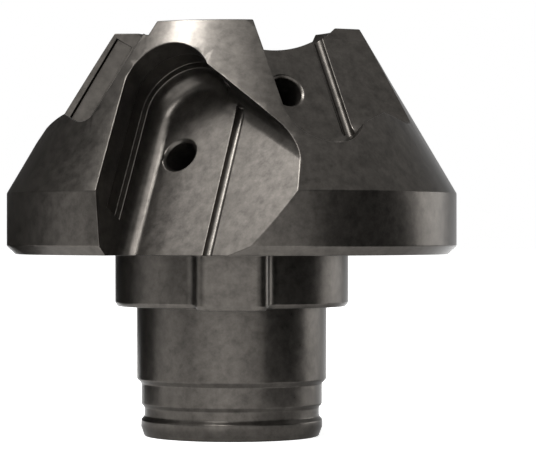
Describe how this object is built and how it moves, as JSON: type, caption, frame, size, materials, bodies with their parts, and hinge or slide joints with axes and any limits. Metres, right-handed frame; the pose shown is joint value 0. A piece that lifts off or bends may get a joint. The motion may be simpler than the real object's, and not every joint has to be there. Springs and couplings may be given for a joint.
{
  "type": "chamfer milling cutter head",
  "caption": "Conical chamfer milling head with bare insert pockets, relief grooves, screw holes, drive lugs and a plain plug-in shank.",
  "frame": {"origin": "centre of the shank's end face", "axes": "+Z along the cutter's axis towards the tip, -Y towards one drive lug"},
  "size_m": [0.052, 0.0519, 0.047],
  "materials": {
    "body_steel": "burnished black oxide, satin"
  },
  "bodies": {
    "root": {"cutter_body": "body_steel"}
  },
  "joints": []
}
